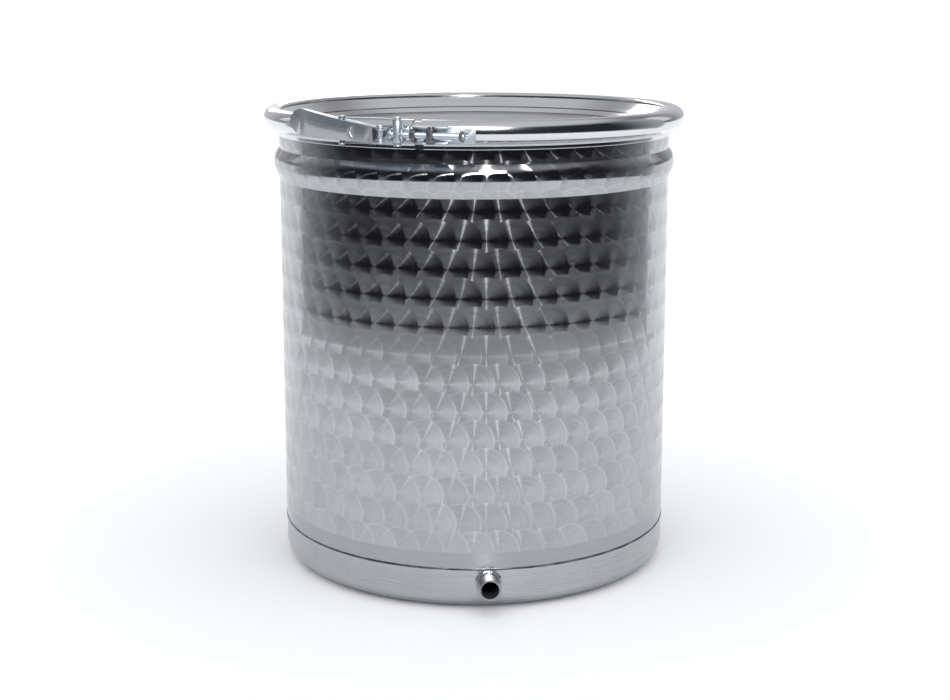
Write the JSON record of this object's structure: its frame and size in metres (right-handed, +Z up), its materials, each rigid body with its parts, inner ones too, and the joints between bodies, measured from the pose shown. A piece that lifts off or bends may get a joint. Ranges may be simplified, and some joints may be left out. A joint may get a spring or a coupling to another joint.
{
  "type": "stainless fermenting drum",
  "caption": "Straight-sided stainless drum with a clamped recessed lid, a lever closure on its clamp ring and a threaded outlet in its bottom pan.",
  "frame": {"origin": "centre of the standing face, under the drum's axis", "axes": "+Z up along the drum's axis, -Y through the outlet, +X to the right when the outlet faces you"},
  "size_m": [0.409, 0.4291, 0.4526],
  "materials": {
    "swirled_steel": "stainless sheet with overlapping round swirl marks, semi-bright",
    "plain_steel": "plain rolled stainless with fine brush lines",
    "polished_steel": "polished stainless",
    "plated_steel": "zinc-plated pressed steel, slightly blue",
    "dark_plated": "dark plated steel",
    "gasket_rubber": "matt food-grade rubber"
  },
  "bodies": {
    "drum": {"drum_shell": "swirled_steel", "bottom_pan": "plain_steel", "outlet_nipple": "plain_steel"},
    "cover": {"lid": "polished_steel", "lid_gasket": "gasket_rubber"},
    "ring": {"clamp_ring": "polished_steel", "lever_bracket": "plated_steel", "catch_bracket": "plated_steel", "lever_pivot_pin": "plated_steel"},
    "lever": {"lever_handle": "plated_steel", "link_pivot_pin": "plated_steel"},
    "link": {"upper_link_plate": "plated_steel", "lower_link_plate": "plated_steel", "link_crossbar": "plated_steel", "adjusting_screw": "plated_steel", "screw_washer": "plated_steel", "lock_nut": "dark_plated", "hook_bar": "dark_plated", "end_nut": "dark_plated"}
  },
  "joints": [
    {"name": "lid_lift", "type": "slide", "parent": "drum", "child": "cover", "axis": [0, 0, 1], "range_m": [0, 0.15], "deforming": ["clamp_ring"]},
    {"name": "ring_lift", "type": "slide", "parent": "cover", "child": "ring", "axis": [0, 0, 1], "range_m": [0, 0.12], "deforming": ["clamp_ring"]},
    {"name": "lever_swing", "type": "hinge", "parent": "ring", "child": "lever", "pos_m": [-0.09416, -0.19718, 0.434], "axis": [0, 0, 1], "range_deg": [0, 120]},
    {"name": "link_swing", "type": "hinge", "parent": "lever", "child": "link", "pos_m": [-0.12685, -0.17311, 0.434], "axis": [0, 0, 1], "range_deg": [-120, 0]}
  ],
  "couplings": [
    {"joint": "link_swing", "follows": "lever_swing", "ratio": -1}
  ]
}
